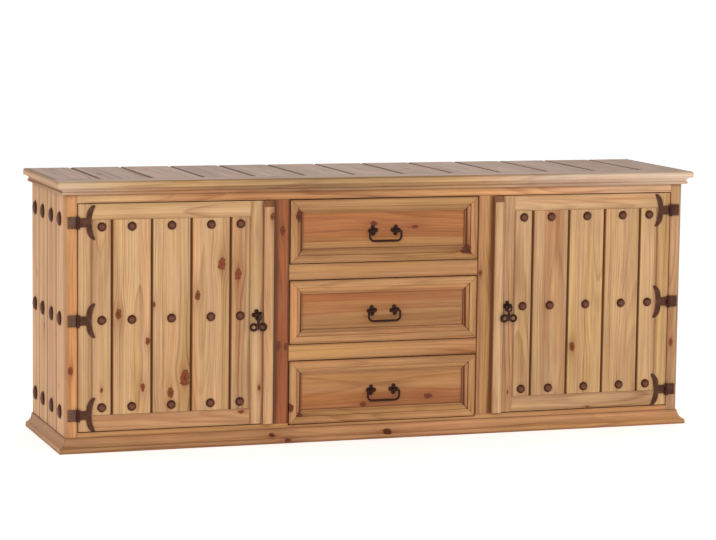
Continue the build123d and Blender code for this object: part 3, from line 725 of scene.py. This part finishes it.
# How pink, or below zero how golden, the boards of a node are, in the same order, the last for the rest
BOARD_HUES = {
    "left_corner_post": (0.6,),
    "left_centre_stile": (1.0,),
    "left_door_cover_strip": (0.4,),
    "right_door_cover_strip": (0.6,),
    "right_corner_post": (0.2,),
    "right_door_frame": (1.6, 0.0, 1.2, -1.8),
    "left_door_frame": (-0.2, 3.2, 0.4, -0.3),
    "left_door_planks": (0.2, -0.4, -0.2, 0.1, 0.5),
    "right_door_planks": (0.6, 0.0, -0.5, -0.5, 0.0),
    "right_centre_stile": (-0.4,),
    "crown_moulding": (-0.4,),
    "top_front_border": (0.5,),
    "drawer_rails": (-0.3,),
    "top_rail": (-2.2,),
}
# How much lighter a board that runs across the front gets with each metre to the right
BOARD_DRIFT = {"base_moulding": 0.65}
# Where a board that runs across the front is darkest, from the middle. Far from there it is lighter and paler
DARKEST = {"crown_moulding": -0.2, "top_rail": -0.05}
# Redder heartwood in drawer panels: where it ends, from the middle, and how red it is, above that level, or below
# it for a number less than zero
HEARTWOOD = {
    "upper_drawer_panel": (-0.022, 0.85),
    "middle_drawer_panel": (0.022, 0.7),
    "lower_drawer_panel": (-0.004, -0.75),
}
# How many knots of chance a board has beside those named, for each stretch of its length
KNOTTINESS = {"door_pine": 0.3, "side_pine": 0.8, "top_pine": 0.9, "inner_pine": 1.2, "drawer_box_pine": 0.8}
KNOTTINESS |= dict.fromkeys(("drawer_frame_pine", "drawer_panel_pine", "crown_pine"), 0.0)
USUAL_KNOTTINESS = 0.25
KNOT_STRETCH = 0.6
# Where they lie, as shares of length and width from the middle, and their radii
KNOT_ALONG, KNOT_ACROSS = 0.47, 0.42
KNOT_RADII = (0.0022, 0.0065)
# A named knot lies on each board that it is on or this close to
KNOT_MARGIN = 0.001
# The pith's place: a share of the board's width aside, a depth below or above it, and a start along it
PITH_ASIDE = 0.6
PITH_DEPTH = (0.02, 0.08)
PITH_STARTS = 40
OWN_TONE = 0.22
FIGURE_STRENGTH = (0.6, 1.0)
FRONT, BACK, LEFT, RIGHT, UP = (0, -1, 0), (0, 1, 0), (-1, 0, 0), (1, 0, 0), (0, 0, 1)
# Dark stain left in grooves and steps, with painted shade on the drawer frames' upright steps and the cover
# strips' sides: the way the boards face, how deep it reaches, how dark it is on upright steps and on level ones
STAINED_AND_SHADED = {
    "left_door_planks": (FRONT, 0.0065, 0.8, 0.8),
    "right_door_planks": (FRONT, 0.0065, 0.8, 0.8),
    "left_side_planks": (LEFT, 0.0065, 0.55, 0.55),
    "right_side_planks": (RIGHT, 0.0065, 0.55, 0.55),
    "top_planks": (UP, 0.0065, 0.8, 0.8),
    "back_planks": (BACK, 0.0065, 0.6, 0.6),
    "left_door_cover_strip": (FRONT, 0.0095, 0.3, 0.75),
    "right_door_cover_strip": (FRONT, 0.0095, 0.3, 0.7),
    "lower_drawer_frame": (FRONT, 0.0105, 0.95, 0.24),
    "middle_drawer_frame": (FRONT, 0.0105, 0.95, 0.24),
    "upper_drawer_frame": (FRONT, 0.0105, 0.95, 0.24),
}
UNSTAINED = ((0, 0, 0), 0, 0, 0)
# Faces less deep than this stay clean
STAIN_LIP = 0.0012
# Cosine of a face's angle to the board's front: from the first it stays clean, from the next it holds less stain
# and painted shade
GENTLE = 0.995
STEEP = 0.95
SLOPE_STAIN_AND_SHADE = 0.25
# How far the doors' cover strips lap the centre stiles, and how far past them their painted shadow reaches
left_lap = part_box("left_door_cover_strip")[1][0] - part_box("left_centre_stile")[0][0]
right_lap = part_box("right_centre_stile")[1][0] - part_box("right_door_cover_strip")[0][0]
STRIP_SHADOW = 0.015
LEFT_SHADOW_MORE = 0.006
# Grime along the long edges of boards, and on the centre stiles painted shadow of the cover strips: how far in it
# reaches from the low and the high edge, how dark it is
EDGE_GRIME_AND_SHADOW = {
    "top_planks": (0.009, 0.009, 0.75),
    "top_front_border": (0.004, 0.004, 0.2),
    "left_door_planks": (0.0055, 0.0055, 0.5),
    "right_door_planks": (0.0055, 0.0055, 0.5),
    # Painted shadow of the cover strips on the centre stiles
    "left_centre_stile": (left_lap + STRIP_SHADOW + LEFT_SHADOW_MORE, 0.006, 0.85),
    "right_centre_stile": (0.004, right_lap + STRIP_SHADOW, 0.85),
}
USUAL_EDGE_GRIME = (0.006, 0.006, 0.22)
EDGE_WEAR = 0.0011
EDGE_STEPS = 2
# Boards are sorted by where they are, to this many digits
PLACE_DIGITS = 3


def board_axes(low, high):
    """Along the grain, across it and through the board: its longest, middle and shortest side."""
    size = high - low
    return sorted(range(3), key=lambda i: size[i], reverse=True)


def named_knots(node, low, high, u, v):
    """The knots named for a node that lie on this board, as place along it, place across it and radius."""
    centre = (low + high) / 2
    knots = []
    for x, z, size in FRONT_KNOTS.get(node, []):
        at = Vector((x / MM_PER_METRE, centre.y, z / MM_PER_METRE))
        if all(low[i] - KNOT_MARGIN <= at[i] <= high[i] + KNOT_MARGIN for i in (0, 2)):
            knots.append((at[u] - centre[u], at[v] - centre[v], size / MM_PER_METRE))
    return knots


def more_knots(knots, chance, wish, length, width):
    """The knots with others of the board's own added by chance, as many as a board holds."""
    while len(knots) < KNOTS_PER_BOARD and chance.random() < wish:
        wish -= 1
        along = chance.uniform(-KNOT_ALONG, KNOT_ALONG) * length
        across = chance.uniform(-KNOT_ACROSS, KNOT_ACROSS) * width
        knots.append((along, across, chance.uniform(*KNOT_RADII)))
    return (knots + [NO_KNOT] * KNOTS_PER_BOARD)[:KNOTS_PER_BOARD]


def face_stains(bm, node):
    """How dark stain and painted shade are on each face of a board: only in its grooves and on its steps."""
    facing, reach, upright, level = STAINED_AND_SHADED.get(node, UNSTAINED)
    facing = Vector(facing)
    top = max(p.co.dot(facing) for p in bm.verts)
    bm.normal_update()
    stains = []
    for face in bm.faces:
        deep = top - face.calc_center_median().dot(facing)
        turned = abs(face.normal.dot(facing))
        hidden = STAIN_LIP < deep < reach and turned < GENTLE
        # Upright and level faces take their own darkness: stain, with painted shade on drawer frames' upright
        # steps and cover strips' sides
        darkness = level if abs(face.normal.z) > abs(face.normal.x) else upright
        share = SLOPE_STAIN_AND_SHADE if turned > STEEP else 1.0
        stains.append(darkness * share if hidden else 0.0)
    return stains


def board_look(node, faces, chance, tone, hue):
    """One board with its figure: grain, pith, knots, tone at each vertex, and stain with painted shade on each
    face.
    """
    bm = solid_mesh(faces, EDGE_WEAR, EDGE_STEPS)
    low, high = span_of([v.co for v in bm.verts])
    centre = (low + high) / 2
    u, v, w = board_axes(low, high)
    length, width = high[u] - low[u], high[v] - low[v]
    pith = (
        chance.uniform(-PITH_ASIDE, PITH_ASIDE) * width,
        chance.choice((-1, 1)) * chance.uniform(*PITH_DEPTH),
        chance.uniform(0, PITH_STARTS),
    )
    own_tone, own_hue = chance.uniform(-OWN_TONE, OWN_TONE), chance.uniform(-1, 1)
    tone = own_tone if tone is None else tone
    hue = own_hue if hue is None else hue
    strength = chance.uniform(*FIGURE_STRENGTH)
    wish = KNOTTINESS.get(node_slot(node), USUAL_KNOTTINESS) * length / KNOT_STRETCH
    knots = more_knots(named_knots(node, low, high, u, v), chance, wish, length, width)
    low_reach, high_reach, grime_and_shadow = EDGE_GRIME_AND_SHADOW.get(node, USUAL_EDGE_GRIME)
    heartwood = HEARTWOOD.get(node, (0, 0))
    runs_across = u == 0
    drift = BOARD_DRIFT.get(node, 0) if runs_across else 0
    values = {"grain": [], "pith": [], "tone": [], "edge": [], "heartwood": [], "stain": face_stains(bm, node)}
    values.update({f"knot{i}": [] for i in range(KNOTS_PER_BOARD)})
    for vert in bm.verts:
        off = vert.co - centre
        values["grain"] += [off[u], off[v], off[w]]
        values["pith"] += pith
        values["tone"] += [tone + drift * off[u], hue, strength]
        from_darkest = vert.co.x - DARKEST[node] if node in DARKEST and runs_across else 0
        values["heartwood"] += [*heartwood, from_darkest]
        values["edge"] += [(width / 2 + off[v]) / low_reach, (width / 2 - off[v]) / high_reach, grime_and_shadow]
        for i, knot in enumerate(knots):
            values[f"knot{i}"] += knot
    return bm, values


def dress_boards(node):
    chance = random.Random("pine " + node)
    meshes, gathered = [], {}
    boards = sorted(shells(node), key=lambda faces: tuple(round(c, PLACE_DIGITS) for c in middle_of(faces)))
    tones, hues = BOARD_TONES.get(node, ()), BOARD_HUES.get(node, (None,))
    for number, faces in enumerate(boards):
        tone = tones[number] if number < len(tones) else None
        bm, values = board_look(node, faces, chance, tone, hues[min(number, len(hues) - 1)])
        meshes.append(bm)
        for key, found in values.items():
            gathered.setdefault(key, []).extend(found)
    mesh = join_meshes(node + "_wood", meshes)
    for key, found in gathered.items():
        kind, domain = ("FLOAT", "FACE") if key == "stain" else ("FLOAT_VECTOR", "POINT")
        write(mesh, key, kind, domain, found)
    slot = node_slot(node)
    show(node + "_wood", mesh, MATERIALS[OTHER_WOOD.get(node, slot)], node, WOOD_SMOOTH)


for node in sorted(frame["nodes"]):
    if node_slot(node) in WOODS:
        dress_boards(node)


# ---- Forged iron ----
def ring_of(centre, axis, across, radius, count, squash=1.0):
    """Points on a circle round an axis. squash flattens it across the third direction."""
    other = axis.cross(across)
    return [
        centre
        + across * radius * math.cos(2 * math.pi * k / count)
        + other * radius * squash * math.sin(2 * math.pi * k / count)
        for k in range(count)
    ]


def skin(bm, rings):
    """Faces between rings of points, in order, with the ends closed."""
    rows = [[bm.verts.new(p) for p in ring] for ring in rings]
    for low, high in zip(rows, rows[1:]):
        count = len(low)
        for k in range(count):
            bm.faces.new((low[k], low[(k + 1) % count], high[(k + 1) % count], high[k]))
    bm.faces.new(list(reversed(rows[0])))
    bm.faces.new(rows[-1])


# Roughly how many dents lie along a metre of a hammered surface
DENTS_PER_METRE = 160


def lathe(bm, base, axis, profile, count, dent, seed):
    """A hammered round form: (radius, height) pairs round an axis, with dents of that share of the radius."""
    across = axis.orthogonal().normalized()
    shift = Vector((seed, 0, 0))
    rings = []
    for radius, height in profile:
        ring = ring_of(base + axis * height, axis, across, radius, count)
        rings.append(
            [p + (p - base - axis * height) * noise.noise(p * DENTS_PER_METRE + shift) * dent for p in ring]
        )
    skin(bm, rings)


def tube(bm, points, radii, across, count, squash=1.0):
    """A bar along a line of points that all lie square to a direction, its radius given at each."""
    rings = []
    for k, point in enumerate(points):
        axis = (points[min(k + 1, len(points) - 1)] - points[max(k - 1, 0)]).normalized()
        rings.append(ring_of(point, axis, across, radii[k], count, squash))
    skin(bm, rings)


def smooth_line(points, steps):
    """Points along a Catmull-Rom curve through the given ones."""
    ends = [points[0] * 2 - points[1], *points, points[-1] * 2 - points[-2]]
    line = []
    for k in range(1, len(ends) - 2):
        a, b, c, d = ends[k - 1 : k + 3]
        for step in range(steps):
            s = step / steps
            square, cube = 2 * a - 5 * b + 4 * c - d, 3 * b - a - 3 * c + d
            line.append(0.5 * (2 * b + (c - a) * s + square * s * s + cube * s**3))
    line.append(points[-1])
    return line


NAIL_SIDES = 24
# Shares of the head's radius and of its height
NAIL_PROFILE = ((0.985, 0.0), (0.98, 0.12), (0.92, 0.33), (0.79, 0.58), (0.57, 0.81), (0.32, 0.95), (0.12, 1.0))
# How high a head is, as a share of its CAD solid's height
NAIL_RISE = (0.86, 0.98)
NAIL_DENT = 0.07
NAIL_SEEDS = 90


def nail_heads(node, facing):
    """Hammered round heads, seated where the CAD heads are. facing gives the way a head at a place faces."""
    bm, rims = bmesh.new(), []
    chance = random.Random("nails " + node)
    for faces in shells(node):
        low, high = span_of_faces(faces)
        centre = (low + high) / 2
        axis = facing(centre)
        rise = abs((high - low).dot(axis))
        radius = (high.z - low.z) / 2
        crown = rise * chance.uniform(*NAIL_RISE)
        profile = [(radius * r, crown * h) for r, h in NAIL_PROFILE]
        seed = chance.uniform(0, NAIL_SEEDS)
        lathe(bm, centre - axis * rise / 2, axis, profile, NAIL_SIDES, NAIL_DENT, seed)
        rims += [share for share, _ in NAIL_PROFILE for _ in range(NAIL_SIDES)]
    show_iron(node, [bm], MATERIALS["iron"], rims=lambda mesh: rims)


for side in ("left", "right"):
    nail_heads(side + "_door_nail_heads", lambda centre: Vector(FRONT))
nail_heads("side_nail_heads", lambda centre: Vector((math.copysign(1, centre.x), 0, 0)))


PLATE_THICKNESS = 0.0025
# Iron that stands further than this proud of the plates, at the knuckles, is darkened all over: rust and painted
# shade
PROUD = PLATE_THICKNESS / 4
PLATE_STEPS = 3
DOOR_LEAF_WEAR = 0.0007
POST_LEAF_WEAR = 0.0005
# The left post's leaves take the painted reflection
SHEEN_LEAVES = "left_post_hinge_leaves"


def forged_plates(node, wear):
    """The CAD solids of plates with their edges hammered round, and rust with painted shade on their knuckles."""

    def rust_and_shade(mesh):
        front = max(v.co.y for v in mesh.vertices) - PLATE_THICKNESS
        return [1.0 if v.co.y < front - PROUD else 0.0 for v in mesh.vertices]

    material = SHEEN_PLATE_IRON if node == SHEEN_LEAVES else PLATE_IRON
    meshes = [solid_mesh(faces, wear, PLATE_STEPS) for faces in shells(node)]
    show_iron(node, meshes, material, PLATE_SMOOTH, rust_and_shade)


# ---- Pulls, forged to the sizes of their CAD solids, in millimetres ----
MM = 0.001
FORWARD = Vector(FRONT)
SIDEWAYS = Vector(RIGHT)
# Rosettes: four petals
PETAL_TIP = 15.0
PETAL_VALLEY = 7.2
PETAL_EDGE = 0.9
PETAL_RISE = 2.4
PETAL_STEPS = 64
PETAL_ROWS = 7
# Powers: of the outline between two tips, and of the dome's rise from its rim
OUTLINE_POWER = 2.2
DOME_POWER = 2.6
DOME_ROUNDING = 0.6
# Share of the rise that is gone in the valleys
VALLEY_LOSS = 0.45
ROSETTE_TURN = 7
# Posts: radius and height, for a stand-off of POST_STAND_OFF
POST_PROFILE = (
    (5.6, 0.0), (5.2, 3.2), (5.0, 9.0), (5.3, 11.0), (5.3, 15.0), (4.6, 16.6), (2.8, 17.8), (0.7, 18.2),
)  # fmt: skip
POST_SIDES = 20
POST_DENT = 0.05
POST_STAND_OFF = 13.0
DROP_STAND_OFF = 16.0
# Bails: a pin through each post, an elbow, an arm down to a bend, and a foot between the two bends
BAIL_RADIUS = 3.0
BAIL_PIN_RADIUS = 2.5
BAIL_SHOULDER = 39.7
BAIL_PIN_START = 27.0
BAIL_HALF_WIDTH = 46.0
BAIL_BEND = 13.0
BAIL_ELBOW = 4.5
BAIL_SIDES = 16
ELBOW_STEPS = 5
BEND_STEPS = 9
# How far before and behind the shoulder the pin's last two rings lie
SHOULDER_BEFORE, SHOULDER_BEHIND = 0.5, 0.3
# The bar is this much thicker in its bend and along its foot
BEND_THICKER = 0.1
FOOT_THICKER = 0.25
FOOT_PLACES = (22, 11, 0)
# Drops: a pin, a fork with two arms, a flat stem, two rings
DROP_PIVOT_BELOW_TOP = 3.5
DROP_PIN = ((-9.2, 1.9), (-8.6, 2.5), (8.6, 2.5), (9.2, 1.9))
DROP_PIN_SIDES = 16
FORK_POINTS = ((7.9, 2.4), (8.1, -4), (7.0, -9.5), (3.6, -13.0), (0, -15.5))
FORK_STEPS = 5
FORK_RADIUS = 2.0
FORK_GROWTH = 0.8
FORK_SIDES = 12
RING_RADIUS = 8.6
RING_BAR_DEPTH = 2.2
RING_BAR_SQUASH = 1.55
RING_SPREAD = 13.0
RING_DROP = 33.0
# Degrees from straight up at which a ring leaves the stem, and how far it curls
RING_START = 62
RING_CURL = 344
RING_STEPS = 30
RING_SIDES = 14
DROP_TIP = 41.2
# Radius and height of the stem, and how flat it is
STEM = ((3.2, -12.5), (3.8, -17), (4.4, -22), (5.2, -27), (6.6, -31.5), (5.6, -35), (3.0, -38.5), (0.8, -DROP_TIP))
STEM_SQUASH = 0.42
STEM_SIDES = 16


def arc(centre, radius, start, stop, steps):
    """Points in the plane of a drawer's front, from one angle to another, in degrees."""
    angles = [math.radians(start + (stop - start) * k / steps) for k in range(steps + 1)]
    return [centre + Vector((math.cos(a), 0, math.sin(a))) * radius for a in angles]


def rosette(bm, seat, turn):
    """Four domed petals with a ridge down each, hammered over the wood round a post."""
    rings = []
    for row in range(PETAL_ROWS + 1):
        share = 1 - row / PETAL_ROWS
        ring = []
        for k in range(PETAL_STEPS):
            angle = 2 * math.pi * k / PETAL_STEPS
            from_ridge = abs((angle / (math.pi / 2) + 0.5) % 1 - 0.5) * 2
            reach = PETAL_VALLEY + (PETAL_TIP - PETAL_VALLEY) * (1 - from_ridge**OUTLINE_POWER)
            radius = reach * share * MM
            ridge = 1 - VALLEY_LOSS * from_ridge
            rise = PETAL_EDGE + PETAL_RISE * ridge * (1 - share**DOME_POWER) ** DOME_ROUNDING
            out = Vector((math.cos(angle + turn), 0, math.sin(angle + turn)))
            ring.append(seat + out * radius + FORWARD * rise * MM)
        rings.append(ring)
    foot = [p + FORWARD * (seat - p).dot(FORWARD) for p in rings[0]]
    skin(bm, [foot] + rings[:-1])


def pull_posts(node, stand_off, chance):
    """Rosettes with their posts, where the CAD solids are."""
    bm = bmesh.new()
    stretch = stand_off / POST_STAND_OFF
    profile = [(r * MM, h * stretch * MM) for r, h in POST_PROFILE]
    for faces in shells(node):
        low, high = span_of_faces(faces)
        seat = Vector(((low.x + high.x) / 2, high.y, (low.z + high.z) / 2))
        rosette(bm, seat, math.radians(chance.uniform(-ROSETTE_TURN, ROSETTE_TURN)))
        lathe(bm, seat, FORWARD, profile, POST_SIDES, POST_DENT, seat.x)
    show_iron(node, [bm], PULL_IRON)


def bail(node):
    """A round bar drawn out to a bail, its ends turned in through the posts."""
    low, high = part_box(node)
    pivot = Vector((0, (low[1] + high[1]) / 2, high[2] - BAIL_RADIUS * MM))
    foot_z = low[2] + BAIL_RADIUS * MM - pivot.z
    bm = bmesh.new()
    pin = (BAIL_PIN_START, BAIL_SHOULDER - SHOULDER_BEFORE, BAIL_SHOULDER + SHOULDER_BEHIND)
    half = [(Vector((x * MM, 0, 0)), BAIL_PIN_RADIUS * MM) for x in pin]
    elbow = Vector(((BAIL_HALF_WIDTH - BAIL_ELBOW) * MM, 0, -BAIL_ELBOW * MM))
    half += [(p, BAIL_RADIUS * MM) for p in arc(elbow, BAIL_ELBOW * MM, 90, 0, ELBOW_STEPS)]
    bend = Vector(((BAIL_HALF_WIDTH - BAIL_BEND) * MM, 0, foot_z + BAIL_BEND * MM))
    half += [(p, (BAIL_RADIUS + BEND_THICKER) * MM) for p in arc(bend, BAIL_BEND * MM, 0, -90, BEND_STEPS)]
    half += [(Vector((x * MM, 0, foot_z)), (BAIL_RADIUS + FOOT_THICKER) * MM) for x in FOOT_PLACES]
    line = half + [(Vector((-p.x, 0, p.z)), r) for p, r in reversed(half[:-1])]
    tube(bm, [pivot + p for p, _ in line], [r for _, r in line], FORWARD, BAIL_SIDES)
    show_iron(node, [bm], PULL_IRON)


def drop_pull(node):
    """A drop on a pivot: an arched fork, a tapered stem, and two rings curled from its foot."""
    low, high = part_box(node)
    pivot = Vector(((low[0] + high[0]) / 2, (low[1] + high[1]) / 2, high[2] - DROP_PIVOT_BELOW_TOP * MM))
    bm = bmesh.new()

    def at(x, z):
        return pivot + Vector((x * MM, 0, z * MM))

    tube(bm, [at(x, 0) for x, _ in DROP_PIN], [r * MM for _, r in DROP_PIN], FORWARD, DROP_PIN_SIDES)
    for side in (-1, 1):
        fork = smooth_line([at(side * x, z) for x, z in FORK_POINTS], FORK_STEPS)
        radii = [(FORK_RADIUS + FORK_GROWTH * k / len(fork)) * MM for k in range(len(fork))]
        tube(bm, fork, radii, FORWARD, FORK_SIDES)
        middle = at(side * RING_SPREAD, -RING_DROP)
        start, stop = 90 + side * RING_START, 90 + side * (RING_START - RING_CURL)
        curl = arc(middle, RING_RADIUS * MM, start, stop, RING_STEPS)
        tube(bm, curl, [RING_BAR_DEPTH * MM] * len(curl), FORWARD, RING_SIDES, RING_BAR_SQUASH)
    tube(bm, [at(0, z) for _, z in STEM], [r * MM for r, _ in STEM], SIDEWAYS, STEM_SIDES, STEM_SQUASH)
    show_iron(node, [bm], PULL_IRON)


for side in ("left", "right"):
    forged_plates(side + "_door_hinge_leaves", DOOR_LEAF_WEAR)
    forged_plates(side + "_post_hinge_leaves", POST_LEAF_WEAR)
    pull_posts(side + "_door_pull_post", DROP_STAND_OFF, random.Random(side))
    drop_pull(side + "_drop_pull")
for level in ("lower", "middle", "upper"):
    pull_posts(level + "_drawer_pull_posts", POST_STAND_OFF, random.Random(level))
    bail(level + "_drawer_bail")


# ---- Floor ----
FLOOR_HALF = 30.0
FLOOR_GLOW = 0.5
FLOOR_ROUGHNESS = 0.9
FLOOR_CLOUDS = 0.6


def make_floor():
    t = Tree("floor")
    place = t.add("TexCoord").outputs["Object"]
    t.surface("Base Color", t.mix(t.noise(place, FLOOR_CLOUDS), colour("f6f5f3"), colour("fbfaf9")))
    t.surface("Roughness", FLOOR_ROUGHNESS)
    t.surface("Emission Color", WHITE)
    t.surface("Emission Strength", FLOOR_GLOW)
    bm = bmesh.new()
    corners = ((-1, -1), (1, -1), (1, 1), (-1, 1))
    bm.faces.new([bm.verts.new((x * FLOOR_HALF, y * FLOOR_HALF, 0)) for x, y in corners])
    mesh = bpy.data.meshes.new("floor")
    bm.to_mesh(mesh)
    bm.free()
    mesh.materials.append(t.material)
    floor = bpy.data.objects.new("floor", mesh)
    bpy.context.scene.collection.objects.link(floor)


make_floor()
